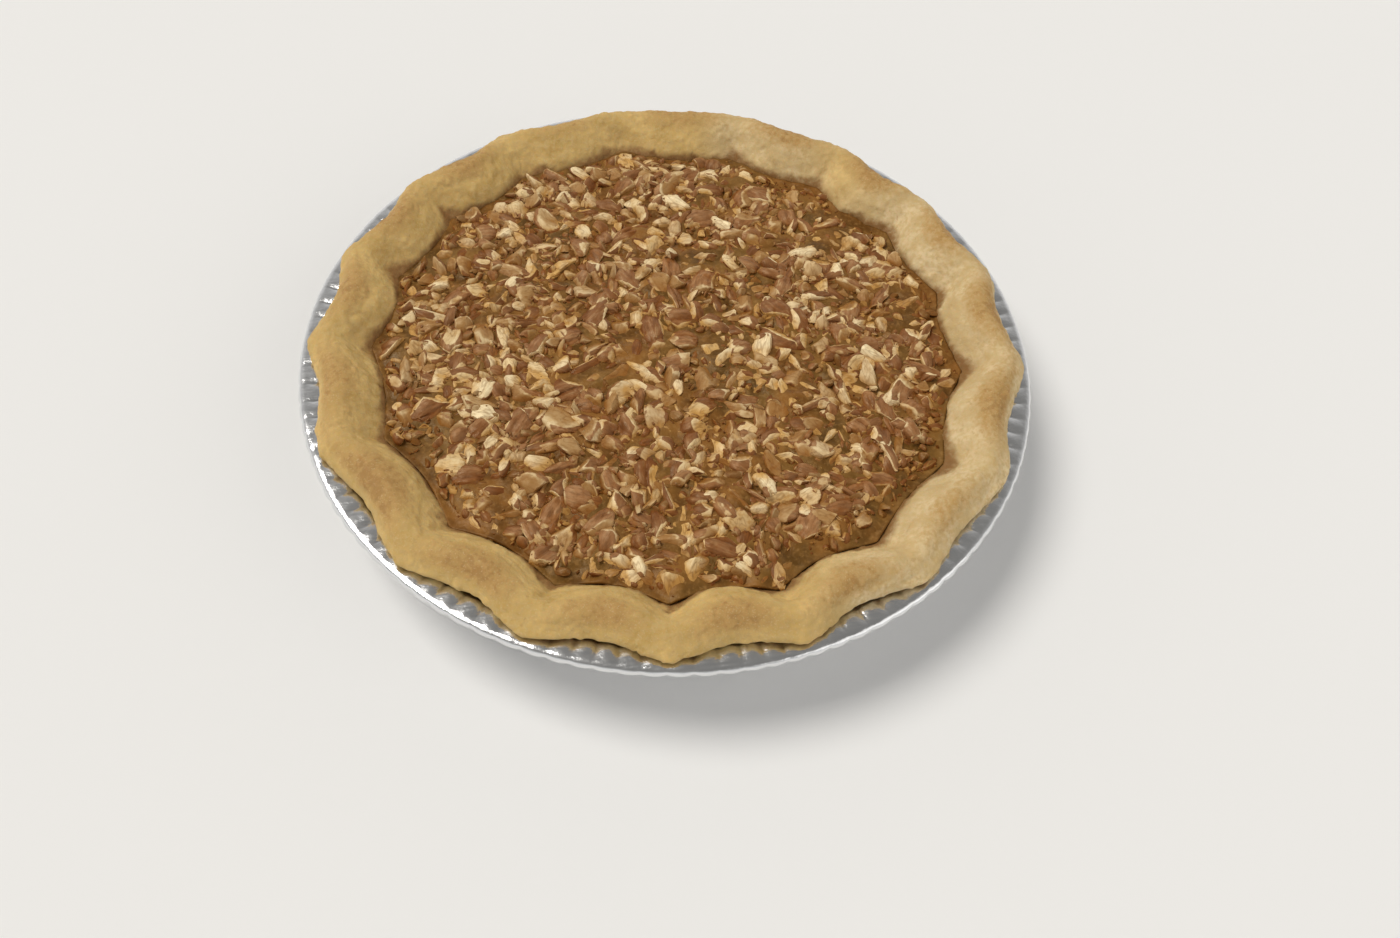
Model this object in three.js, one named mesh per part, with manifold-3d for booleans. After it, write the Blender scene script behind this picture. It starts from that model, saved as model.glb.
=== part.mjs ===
// A whole nine inch pecan pie in its own plain foil pan.
// Millimetres, +Z up. The origin is the centre of the pan's flat base, which rests on z = 0.
import * as THREE from 'three';
import { mergeVertices } from 'three/addons/utils/BufferGeometryUtils.js';
import Module from 'manifold-3d';

// Foil pan: a flat base, a slanted wall, a narrow flange and a rolled edge.
const PAN_BASE_RADIUS = 90;
const PAN_BRIM_RADIUS = 107;
const PAN_DEPTH = 29;
const PAN_FLANGE_WIDTH = 7;
const PAN_BEAD_RADIUS = 1.5;
const PAN_CORNER = 2.5;
const PAN_LEAN = (PAN_BRIM_RADIUS - PAN_BASE_RADIUS) / PAN_DEPTH;
const FOIL = 0.6;
const PAN_SEGMENTS = 60;

// Crust: a pastry bowl that lines the pan, with a fluted rim standing on the flange.
const GAP = 0.3;
const PASTRY = 4.2;
const FLUTES = 17;
const FLUTE_START = THREE.MathUtils.degToRad(92.5);
const FLUTE_DRIFT = 0.6;
const FLUTE_DRIFT_CENTRE = THREE.MathUtils.degToRad(57);
const CREST_RADIUS = 104.2;
const CREST_SWING = 4.4;
const CREST_HEIGHT = 38.2;
const CREST_ROLL = 1.6;
const WALL_ROLL = 0.9;
const RIM_SEGMENTS = 144;
const HIDDEN_SEGMENTS = 72;

// The rim's section. At its foot, each point's distance outward of the crest line and above the
// flange; higher up, its distance outward of the crest line and below the crest's top.
const RIM_FOOT_SECTION = [[5.4, 0], [6.6, 2]];
const RIM_TOP_SECTION = [[4.8, 3.2], [2.2, 0.8], [-0.88, 0]];
const RIM_SHOULDER = [-4.4, 1.8];

// Filling: it fills the pastry up to this line, with chopped pecans baked into its top.
const FILLING_EDGE_RADIUS = 93.4;
const FILLING_EDGE_SWING = 4.2;
const FILLING_EDGE_HEIGHT = 27;
const FILLING_DOME = 2.2;
const FILLING_RELIEF = 0.5;
const NUT_FIELD_RADIUS = 84.5;
const NUT_LIMIT_RADIUS = 87.8;
const NUT_SINK = 0.06;
const NUT_COUNT = 214;
const NUT_REACH = 0.56;
const NUT_SWAY = 0.5;
const NUT_SWAY_LENGTH = 9;
const NUT_ROCK = 0.35;
const NUT_ROLL = 0.5;
const GOLDEN_ANGLE = Math.PI * (3 - Math.sqrt(5));

// What each repeatable number is drawn for.
const DRAWN = {
  flute: 1,
  kind: 2,
  sway: 3,
  length: 4,
  width: 5,
  height: 6,
  cornerX: 7,
  cornerY: 8,
  cornerZ: 9,
  rock: 10,
  roll: 11,
  heading: 12,
};

const PAN_COLOUR = 0xb9bbbd;
const CRUST_COLOUR = 0xcaa768;
const FILLING_COLOUR = 0x8a5a35;

const wasm = await Module();
wasm.setup();

/** A repeatable number from 0 to 1 for one thing, from its index and what it is drawn for. */
function draw(index, purpose) {
  const wave = Math.sin(index * 12.9898 + purpose * 78.233) * 43758.5453;
  return wave - Math.floor(wave);
}

/** A ring of points round the axis; place(angle) gives the radius and height of each. */
function ring(segments, place) {
  return Array.from({ length: segments }, (_, step) => {
    const angle = (step / segments) * 2 * Math.PI;
    const [radius, height] = place(angle);
    return new THREE.Vector3(radius * Math.cos(angle), radius * Math.sin(angle), height);
  });
}

/** A one point ring on the axis, where a skin closes. */
function pole(height) {
  return [new THREE.Vector3(0, 0, height)];
}

/**
 * A closed skin through rings listed from the underside's pole, outward, up and back in to the
 * top's pole. Neighbouring rings may differ in their number of points.
 */
function closedSkin(rings) {
  const points = rings.flat();
  const triangles = [];
  let start = 0;
  for (let level = 0; level + 1 < rings.length; level += 1) {
    const below = rings[level].length;
    const above = rings[level + 1].length;
    const upper = start + below;
    const belowSteps = below > 1 ? below : 0;
    const aboveSteps = above > 1 ? above : 0;
    let i = 0;
    let j = 0;
    while (i < belowSteps || j < aboveSteps) {
      const nextBelow = i < belowSteps ? (i + 1) / below : Infinity;
      const nextAbove = j < aboveSteps ? (j + 1) / above : Infinity;
      const a = start + (i % below);
      const b = upper + (j % above);
      if (nextBelow <= nextAbove) {
        i += 1;
        triangles.push(a, start + (i % below), b);
      } else {
        j += 1;
        triangles.push(a, upper + (j % above), b);
      }
    }
    start = upper;
  }
  const geometry = new THREE.BufferGeometry().setFromPoints(points);
  geometry.setIndex(triangles);
  return geometry;
}

/** A named mesh in its own plain material. */
function piece(name, geometry, color, roughness, metalness) {
  const shown = geometry.toNonIndexed();
  shown.computeVertexNormals();
  const mesh = new THREE.Mesh(shown, new THREE.MeshStandardMaterial({ color, roughness, metalness }));
  mesh.name = name;
  return mesh;
}

/** A closed three.js geometry as a solid that can be joined. */
function solidOf(geometry) {
  const bare = geometry.clone();
  bare.deleteAttribute('normal');
  bare.deleteAttribute('uv');
  const merged = mergeVertices(bare, 1e-5);
  return new wasm.Manifold(new wasm.Mesh({
    numProp: 3,
    vertProperties: new Float32Array(merged.attributes.position.array),
    triVerts: new Uint32Array(merged.index.array),
  }));
}

/** The biggest body of a solid as a geometry, without loose scraps or sealed hollows. */
function geometryOf(solid) {
  const bodies = solid.decompose();
  bodies.sort((one, other) => other.volume() - one.volume());
  const mesh = bodies[0].getMesh();
  const geometry = new THREE.BufferGeometry();
  geometry.setAttribute('position', new THREE.BufferAttribute(new Float32Array(mesh.vertProperties), 3));
  geometry.setIndex(new THREE.BufferAttribute(new Uint32Array(mesh.triVerts), 1));
  return geometry;
}

// ---- the fluted rim -------------------------------------------------------------------------

/** Where an angle lies along the flutes: the whole part counts flutes, the rest runs through one. */
function alongFlutes(angle) {
  const drift = FLUTE_DRIFT * (1 + Math.cos(3 * (angle - FLUTE_DRIFT_CENTRE)));
  return (FLUTES * (angle - FLUTE_START) + drift) / (2 * Math.PI) + FLUTES;
}

/**
 * How far the rim leans in at an angle: 0 in the crease between two flutes, about 1 on a flute.
 * A crease is a sharp fold where softness is under 1 and a round valley where it is over 1.
 */
function fluteBulge(angle, softness) {
  const along = alongFlutes(angle);
  const flute = Math.floor(along) % FLUTES;
  return Math.sin(Math.PI * (along % 1)) ** softness * (0.82 + 0.36 * draw(flute, DRAWN.flute));
}

/** The rim's centre line: out in the creases, in on the flutes. */
function crestRadius(angle) {
  return CREST_RADIUS + CREST_SWING * (0.5 - fluteBulge(angle, 1.4));
}

/** The rim's top line, lower in the creases and uneven all round, as hand pinched pastry is. */
function crestHeight(angle) {
  const unevenness = 0.5 * Math.sin(2 * angle + 1) + 0.4 * Math.sin(5 * angle + 2.5);
  return CREST_HEIGHT - CREST_ROLL * (1 - fluteBulge(angle, 1.4)) + unevenness;
}

/** The line where the filling meets the pastry: scallops with a sharp corner in each crease. */
function fillingEdgeRadius(angle) {
  return FILLING_EDGE_RADIUS - FILLING_EDGE_SWING * fluteBulge(angle, 1);
}

// ---- the foil pan ---------------------------------------------------------------------------

/** The pan, turned from the section of its base, wall, flange and rolled edge. */
function foilPan() {
  const flangeEnd = PAN_BRIM_RADIUS + PAN_FLANGE_WIDTH;
  const bead = new THREE.Vector2(flangeEnd, PAN_DEPTH - PAN_BEAD_RADIUS);
  const profile = [
    new THREE.Vector2(0, 0),
    new THREE.Vector2(PAN_BASE_RADIUS - PAN_CORNER, 0),
    new THREE.Vector2(PAN_BASE_RADIUS + FOIL + PAN_LEAN * PAN_CORNER, PAN_CORNER),
    new THREE.Vector2(PAN_BRIM_RADIUS + FOIL - PAN_LEAN * FOIL, PAN_DEPTH - 2 * FOIL),
    new THREE.Vector2(PAN_BRIM_RADIUS + 2 * FOIL, PAN_DEPTH - FOIL),
    new THREE.Vector2(flangeEnd - PAN_BEAD_RADIUS, PAN_DEPTH - FOIL),
  ];
  for (const turn of [-150, -90, -30, 30]) {
    const angle = THREE.MathUtils.degToRad(turn);
    const arm = new THREE.Vector2(Math.cos(angle), Math.sin(angle));
    profile.push(bead.clone().addScaledVector(arm, PAN_BEAD_RADIUS));
  }
  profile.push(
    new THREE.Vector2(flangeEnd - FOIL, PAN_DEPTH),
    new THREE.Vector2(PAN_BRIM_RADIUS + FOIL, PAN_DEPTH),
    new THREE.Vector2(PAN_BRIM_RADIUS - PAN_LEAN * FOIL, PAN_DEPTH - FOIL),
    new THREE.Vector2(PAN_BASE_RADIUS + PAN_LEAN * PAN_CORNER, PAN_CORNER + FOIL),
    new THREE.Vector2(PAN_BASE_RADIUS - PAN_CORNER, FOIL),
    new THREE.Vector2(0, FOIL),
  );
  return new THREE.LatheGeometry(profile, PAN_SEGMENTS).rotateX(Math.PI / 2);
}

// ---- the crust ------------------------------------------------------------------------------

const CRUST_UNDERSIDE = FOIL + GAP;
const CRUST_FLOOR = CRUST_UNDERSIDE + PASTRY;
const CRUST_FLOOR_RADIUS = PAN_BASE_RADIUS - PASTRY - 1;
const CRUST_WALL_RADIUS = FILLING_EDGE_RADIUS - FILLING_EDGE_SWING;
const RIM_UNDERSIDE = PAN_DEPTH + GAP;

/** Rings through the section points of the rim's foot. */
function rimFoot() {
  return RIM_FOOT_SECTION.map(([outward, above]) => ring(RIM_SEGMENTS, (angle) => [
    crestRadius(angle) + outward,
    RIM_UNDERSIDE + above,
  ]));
}

/** Rings through section points that hang from the crest. */
function rimTop(section) {
  return section.map(([outward, below]) => ring(RIM_SEGMENTS, (angle) => [
    crestRadius(angle) + outward,
    crestHeight(angle) - below,
  ]));
}

/**
 * The inner wall from the filling's edge (rise 0) to the shoulder (rise 1): each flute rolls in over
 * the filling, and each crease is hollowed by as much.
 */
function wallPoint(angle, rise) {
  const [outward, below] = RIM_SHOULDER;
  const foot = new THREE.Vector2(fillingEdgeRadius(angle), FILLING_EDGE_HEIGHT);
  const shoulder = new THREE.Vector2(crestRadius(angle) + outward, crestHeight(angle) - below);
  const point = foot.lerp(shoulder, rise);
  const hollow = WALL_ROLL * Math.sin(Math.PI * rise) * (1 - 2 * fluteBulge(angle, 1));
  return [point.x + 0.6 * hollow, point.y - 0.8 * hollow];
}

/** The pastry bowl: its underside follows the pan, and its rim is rolled and fluted. */
function crust() {
  return closedSkin([
    pole(CRUST_UNDERSIDE),
    ring(HIDDEN_SEGMENTS, () => [PAN_BASE_RADIUS - PAN_CORNER - GAP, CRUST_UNDERSIDE]),
    ring(HIDDEN_SEGMENTS, () => [PAN_BASE_RADIUS + PAN_LEAN * PAN_CORNER - 2 * GAP, PAN_CORNER + FOIL + GAP]),
    ring(HIDDEN_SEGMENTS, () => [PAN_BRIM_RADIUS - PAN_LEAN * FOIL - 2 * GAP, PAN_DEPTH - FOIL]),
    ring(HIDDEN_SEGMENTS, () => [PAN_BRIM_RADIUS - GAP, RIM_UNDERSIDE]),
    ...rimFoot(),
    ...rimTop([...RIM_TOP_SECTION, RIM_SHOULDER]),
    ring(RIM_SEGMENTS, (angle) => wallPoint(angle, 0.5)),
    ring(RIM_SEGMENTS, (angle) => wallPoint(angle, 0)),
    ring(RIM_SEGMENTS, () => [CRUST_WALL_RADIUS, FILLING_EDGE_HEIGHT - PASTRY]),
    ring(HIDDEN_SEGMENTS, () => [CRUST_FLOOR_RADIUS, CRUST_FLOOR]),
    pole(CRUST_FLOOR),
  ]);
}

// ---- the filling and its pecans -------------------------------------------------------------

/** The height of the filling's own top, gently domed and uneven, before the nuts. */
function fillingTop(x, y) {
  const reach = Math.min(1, Math.hypot(x, y) / FILLING_EDGE_RADIUS);
  const relief = Math.sin(x * 0.19 + 1.1) * Math.sin(y * 0.17 + 0.4) + 0.6 * Math.sin((x + y) * 0.31);
  const settled = 1 - reach ** 6;
  return FILLING_EDGE_HEIGHT + FILLING_DOME * (1 - reach ** 4) + FILLING_RELIEF * relief * settled;
}

/**
 * The filling without its nuts: it fits the pastry all round with the gap between pieces, and draws
 * in a little more below its edge, clear of the folds in the wall.
 */
function fillingCore() {
  const margin = 1.6 * GAP;
  const rings = [
    pole(CRUST_FLOOR + GAP),
    ring(HIDDEN_SEGMENTS, () => [CRUST_FLOOR_RADIUS - margin, CRUST_FLOOR + GAP]),
    ring(RIM_SEGMENTS, () => [CRUST_WALL_RADIUS - 3 * margin, FILLING_EDGE_HEIGHT - PASTRY]),
    ring(RIM_SEGMENTS, (angle) => [fillingEdgeRadius(angle) - margin, FILLING_EDGE_HEIGHT]),
  ];
  for (const [segments, radius] of [[60, 84], [36, 64], [24, 42], [12, 21]]) {
    rings.push(ring(segments, (angle) => [
      radius,
      fillingTop(radius * Math.cos(angle), radius * Math.sin(angle)),
    ]));
  }
  rings.push(pole(fillingTop(0, 0)));
  return closedSkin(rings);
}

/** A lump of kernel with its rounded skin side up. */
function lumpShape() {
  return new THREE.IcosahedronGeometry(0.5, 0);
}

/** A chip with flat cut faces. */
function chipShape() {
  return new THREE.BoxGeometry(0.9, 0.9, 0.9);
}

// Each kind: its share of the pieces, its shape, its sizes from smallest to largest, how far its
// corners stray, and how much its top draws in.
const NUT_KINDS = [
  {
    share: 0.42,
    shape: lumpShape,
    length: [10, 16],
    width: [7.5, 11],
    height: [6, 7.5],
    stray: 0.08,
    top: 1,
  },
  {
    share: 0.36,
    shape: chipShape,
    length: [8, 12],
    width: [6, 8.5],
    height: [5, 6.5],
    stray: 0.16,
    top: 0.68,
  },
  {
    share: 0.22,
    shape: chipShape,
    length: [11, 16],
    width: [4, 5.5],
    height: [4.5, 5.5],
    stray: 0.14,
    top: 0.6,
  },
];

/** The kind of pecan piece that a draw from 0 to 1 picks. */
function nutKind(choice) {
  let left = choice;
  for (const kind of NUT_KINDS) {
    left -= kind.share;
    if (left <= 0) {
      return kind;
    }
  }
  return NUT_KINDS[0];
}

/** Where a piece lies: outward along a sunflower spiral, and no nearer to the crust than it reaches. */
function nutPlace(index, length, width) {
  const spread = NUT_FIELD_RADIUS * Math.sqrt((index + 0.5) / NUT_COUNT);
  const radius = Math.min(spread, NUT_LIMIT_RADIUS - NUT_REACH * Math.hypot(length, width));
  const sway = NUT_SWAY * (draw(index, DRAWN.sway) - 0.5) * Math.min(1, NUT_SWAY_LENGTH / radius);
  const angle = index * GOLDEN_ANGLE + sway;
  return [radius * Math.cos(angle), radius * Math.sin(angle)];
}

/** A kind's shape with its corners shifted at random and its top drawn in. */
function brokenShape(kind, index) {
  const shape = kind.shape();
  shape.deleteAttribute('normal');
  shape.deleteAttribute('uv');
  const geometry = mergeVertices(shape, 1e-4);
  const corners = geometry.attributes.position;
  for (let corner = 0; corner < corners.count; corner += 1) {
    const shift = (purpose) => 2 * kind.stray * (draw(index * 37 + corner, purpose) - 0.5);
    const taper = corners.getZ(corner) > 0 ? kind.top : 1;
    corners.setXYZ(
      corner,
      taper * corners.getX(corner) + shift(DRAWN.cornerX),
      taper * corners.getY(corner) + shift(DRAWN.cornerY),
      corners.getZ(corner) + shift(DRAWN.cornerZ),
    );
  }
  return geometry;
}

/** One chopped piece, rocked and turned at random, half sunk in the filling at its place. */
function nut(index) {
  const kind = nutKind(draw(index, DRAWN.kind));
  const size = (range, purpose) => THREE.MathUtils.lerp(range[0], range[1], draw(index, purpose) ** 1.5);
  const length = size(kind.length, DRAWN.length);
  const width = size(kind.width, DRAWN.width);
  const height = size(kind.height, DRAWN.height);
  const [x, y] = nutPlace(index, length, width);
  const geometry = brokenShape(kind, index);
  geometry.scale(length, width, height);
  geometry.rotateY(NUT_ROCK * (draw(index, DRAWN.rock) - 0.5));
  geometry.rotateX(NUT_ROLL * (draw(index, DRAWN.roll) - 0.5));
  geometry.rotateZ(2 * Math.PI * draw(index, DRAWN.heading));
  geometry.translate(x, y, fillingTop(x, y) - NUT_SINK * height);
  return geometry;
}

/** The whole filling, with the pieces of pecan joined on. */
function filling() {
  let solid = solidOf(fillingCore());
  for (let index = 0; index < NUT_COUNT; index += 1) {
    solid = solid.add(solidOf(nut(index)));
  }
  return geometryOf(solid);
}

const pie = new THREE.Group();
pie.name = 'pecan_pie';
pie.add(
  piece('foil_pan', foilPan(), PAN_COLOUR, 0.35, 0.9),
  piece('crust', crust(), CRUST_COLOUR, 0.85, 0),
  piece('filling', filling(), FILLING_COLOUR, 0.45, 0),
);

export default pie;
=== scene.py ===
"""A whole nine inch pecan pie in its own foil pan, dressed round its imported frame, in metres."""
import math

import bmesh
import bpy
import numpy as np
from mathutils import Matrix, Vector


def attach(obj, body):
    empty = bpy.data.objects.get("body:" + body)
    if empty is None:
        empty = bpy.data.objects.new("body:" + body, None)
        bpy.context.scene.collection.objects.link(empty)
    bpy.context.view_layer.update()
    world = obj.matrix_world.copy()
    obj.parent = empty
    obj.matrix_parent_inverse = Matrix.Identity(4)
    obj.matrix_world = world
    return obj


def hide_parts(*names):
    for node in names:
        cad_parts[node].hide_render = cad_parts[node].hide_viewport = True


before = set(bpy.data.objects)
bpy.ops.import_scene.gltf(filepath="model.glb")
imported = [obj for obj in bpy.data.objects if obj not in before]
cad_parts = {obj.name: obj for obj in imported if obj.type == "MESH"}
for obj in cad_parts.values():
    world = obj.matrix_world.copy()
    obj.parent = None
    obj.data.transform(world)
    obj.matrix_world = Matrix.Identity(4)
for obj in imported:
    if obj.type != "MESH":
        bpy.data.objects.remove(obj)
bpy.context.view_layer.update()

# ---- Foil pan ----------------------------------------------------------------------------------
# A pie pan pressed from thin aluminium foil. The wall gathers into fine upright pleats as the flat
# sheet is drawn down into the die, and the edge is curled over outward into a narrow bead.

MM = 0.001
PAN_BASE_RADIUS = 90
PAN_FLAT_END = 82
PAN_BRIM_RADIUS = 107
PAN_DEPTH = 29
PAN_FLANGE_END = 114
PAN_BEAD_RADIUS = 1.4
PAN_CORNER = 2.5
PAN_BEND = 1.2
PAN_STEP = 4
FOIL = 0.6
PAN_TURNS = 1296
PAN_PLEATS = 108
PLEAT_DEPTH = 0.65
FLANGE_RIPPLE = 0.32
FOIL_DENTS = 0.22


def hashed(index, purpose):
    """A repeatable number from 0 to 1 for one thing: the fraction of a large multiple of a sine
    of its index and what it is drawn for."""
    wave = np.sin(np.asarray(index, float) * 12.9898 + purpose * 78.233) * 43758.5453
    return wave - np.floor(wave)


def smooth_step(value, start, end):
    """0 before start and 1 after end, with the cubic 3t^2 - 2t^3 between them."""
    t = np.clip((value - start) / (end - start), 0, 1)
    return t * t * (3 - 2 * t)


def soft_noise(points, grain, seed=0):
    """A smooth field from -1 to 1: random values on a cubic lattice of the given grain, blended by
    smoothed steps between the eight lattice corners round each point."""
    spots = np.asarray(points) / grain + 31.7 * seed + 500
    cell = np.floor(spots).astype(np.int64)
    part = spots - cell
    ease = part * part * (3 - 2 * part)
    total = np.zeros(spots.shape[:-1])
    for corner in np.ndindex(2, 2, 2):
        x, y, z = np.moveaxis(cell + corner, -1, 0)
        mixed = (x * 73856093) ^ (y * 19349663) ^ (z * 83492791)
        mixed = ((mixed ^ (mixed >> 13)) * 1274126177) & 0xFFFFFFFF
        weight = np.prod(np.where(np.array(corner) == 1, ease, 1 - ease), axis=-1)
        total += weight * ((mixed ^ (mixed >> 16)) & 0xFFFF) / 65535
    return 2 * total - 1


def bent_line(corners, bend, step):
    """A line of points through corners: straight runs, with each corner cut by a quadratic arc that
    starts and ends at most the bend away from it."""
    corners = np.array(corners, float)
    runs = np.diff(corners, axis=0)
    lengths = np.hypot(runs[:, 0], runs[:, 1])
    ways = runs / lengths[:, None]
    line = [corners[:1]]
    start = corners[0]
    for before in range(len(runs) - 1):
        corner = corners[before + 1]
        cut = min(bend, 0.45 * lengths[before], 0.45 * lengths[before + 1])
        enter = corner - cut * ways[before]
        leave = corner + cut * ways[before + 1]
        straight = np.linspace(0, 1, 2 + int(np.hypot(*(enter - start)) / step))[1:, None]
        turn = np.linspace(0, 1, 5)[1:, None]
        line.append(start + straight * (enter - start))
        line.append((1 - turn) ** 2 * enter + 2 * turn * (1 - turn) * corner + turn ** 2 * leave)
        start = leave
    straight = np.linspace(0, 1, 2 + int(np.hypot(*(corners[-1] - start)) / step))[1:, None]
    line.append(start + straight * (corners[-1] - start))
    return np.vstack(line)


def mesh_piece(name, points, faces, material, node, attributes=(), crease=math.pi):
    """A finished piece from arrays: points in millimetres, faces as lists of index rows, and named
    values for each point. Edges that bend more than the crease angle are left sharp. It rides on
    the pie's one body and stands for the node."""
    mesh = bpy.data.meshes.new(name)
    mesh.vertices.add(len(points))
    mesh.vertices.foreach_set("co", (points * MM).astype(np.float32).ravel())
    sizes = np.concatenate([np.full(len(rows), rows.shape[1]) for rows in faces])
    order = np.concatenate([rows.ravel() for rows in faces])
    starts = np.concatenate([[0], np.cumsum(sizes)[:-1]])
    mesh.loops.add(len(order))
    mesh.loops.foreach_set("vertex_index", order.astype(np.int32))
    mesh.polygons.add(len(sizes))
    mesh.polygons.foreach_set("loop_start", starts.astype(np.int32))
    mesh.update(calc_edges=True)
    mesh.shade_smooth()
    if crease < math.pi:
        mesh.set_sharp_from_angle(angle=crease)
    for label, values in attributes:
        kind = "FLOAT" if values.ndim == 1 else "FLOAT_VECTOR"
        field = "value" if values.ndim == 1 else "vector"
        layer = mesh.attributes.new(label, kind, "POINT")
        layer.data.foreach_set(field, values.astype(np.float32).ravel())
    mesh.materials.append(material)
    piece = bpy.data.objects.new(name, mesh)
    bpy.context.scene.collection.objects.link(piece)
    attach(piece, "root")
    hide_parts(node)


def turned_skin(rings):
    """Points and faces of a closed skin through rings of points, from the underside's pole,
    outward, up and back in to the top's pole. A pole is the middle of the first or last ring."""
    levels, turns = rings.shape[:2]
    points = np.vstack([rings.reshape(-1, 3), rings[0].mean(0), rings[-1].mean(0)])
    here = np.arange(turns)
    after = (here + 1) % turns
    base = (np.arange(levels - 1) * turns)[:, None]
    quads = np.stack([base + here, base + after, base + turns + after, base + turns + here], -1)
    under = np.stack([np.full(turns, levels * turns), after, here], -1)
    last = (levels - 1) * turns
    over = np.stack([last + here, last + after, np.full(turns, levels * turns + 1)], -1)
    return points, [quads.reshape(-1, 4), under, over]


def with_poles(values):
    """Values for each point of turned rings, with 0 for the two poles of their skin."""
    return np.append(values.ravel(), [0.0, 0.0])


def around(radius, height, angles):
    """Points at the radius and height of each angle, in turned rings."""
    radius, height = np.broadcast_arrays(radius, height)
    return np.stack([radius * np.cos(angles), radius * np.sin(angles), height], -1)


def shader_node(tree, kind, inputs=None, **settings):
    """A node in a material's tree, with its settings, and its inputs set to values or linked."""
    made = tree.nodes.new("ShaderNode" + kind)
    for setting, value in settings.items():
        setattr(made, setting, value)
    for socket, value in (inputs or {}).items():
        if isinstance(value, bpy.types.NodeSocket):
            tree.links.new(value, made.inputs[socket])
        else:
            made.inputs[socket].default_value = value
    return made


def new_finish(name):
    """An empty material with one Principled shader, its tree, and the place on the pie."""
    material = bpy.data.materials.new(name)
    material.use_nodes = True
    tree = material.node_tree
    place = shader_node(tree, "TexCoord").outputs["Object"]
    return material, tree, tree.nodes["Principled BSDF"], place


def laid_on(tree, label, output="Fac"):
    """An attribute that the piece's mesh carries, as an output socket."""
    return shader_node(tree, "Attribute", attribute_name=label).outputs[output]


def blended(tree, amount, first, second, kind="MIX"):
    """The colour between two colours by an amount, as an output socket."""
    inputs = {0: amount, 6: first, 7: second}
    return shader_node(tree, "Mix", inputs, data_type="RGBA", blend_type=kind).outputs[2]


def worked_out(tree, operation, first, second=0.0, clamp=False):
    """One sum on two numbers or sockets, as an output socket."""
    sums = shader_node(tree, "Math", {0: first, 1: second}, operation=operation, use_clamp=clamp)
    return sums.outputs[0]


def ranged(tree, value, start, end, low=0.0, high=1.0):
    """A number carried smoothly from one range to another, as an output socket."""
    inputs = {"Value": value, "From Min": start, "From Max": end, "To Min": low, "To Max": high}
    return shader_node(tree, "MapRange", inputs, interpolation_type="SMOOTHSTEP").outputs[0]


def mottle(tree, place, grain, detail=4.0):
    """A noise from 0 to 1 whose patches are about the grain across, in metres."""
    inputs = {"Vector": place, "Scale": 1 / grain, "Detail": detail, "Roughness": 0.55}
    return shader_node(tree, "TexNoise", inputs).outputs[0]


def relief(tree, height, strength, distance, under=None):
    """A bump of the given height, over another bump, as a normal."""
    inputs = {"Height": height, "Strength": strength, "Distance": distance}
    if under is not None:
        inputs["Normal"] = under
    return shader_node(tree, "Bump", inputs).outputs[0]


def foil_finish():
    """Bare rolled aluminium: bright, with a soft rolled grain, faint crumple marks, and painted
    shade that darkens the folds between the pleats."""
    material, tree, shader, place = new_finish("foil")
    patches = mottle(tree, place, 14 * MM)
    crumple = mottle(tree, place, 3 * MM, 3.0)
    rolled = shader_node(tree, "Mapping", {"Vector": place, "Scale": (0.08, 1.0, 1.0)}).outputs[0]
    # Painted shade: the folds between the pleats are coloured darker grey.
    fold_shade = ranged(tree, laid_on(tree, "pleat"), 0.0, -0.95, 0.0, 0.8)
    bright = blended(tree, patches, (0.73, 0.735, 0.745, 1), (0.84, 0.845, 0.85, 1))
    colour = blended(tree, fold_shade, bright, (0.40, 0.405, 0.415, 1))
    tree.links.new(colour, shader.inputs["Base Color"])
    tree.links.new(ranged(tree, mottle(tree, rolled, 0.7 * MM), 0.3, 0.75, 0.15, 0.24),
                   shader.inputs["Roughness"])
    tree.links.new(relief(tree, crumple, 0.3, 0.5 * MM), shader.inputs["Normal"])
    shader.inputs["Metallic"].default_value = 1.0
    return material


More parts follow.
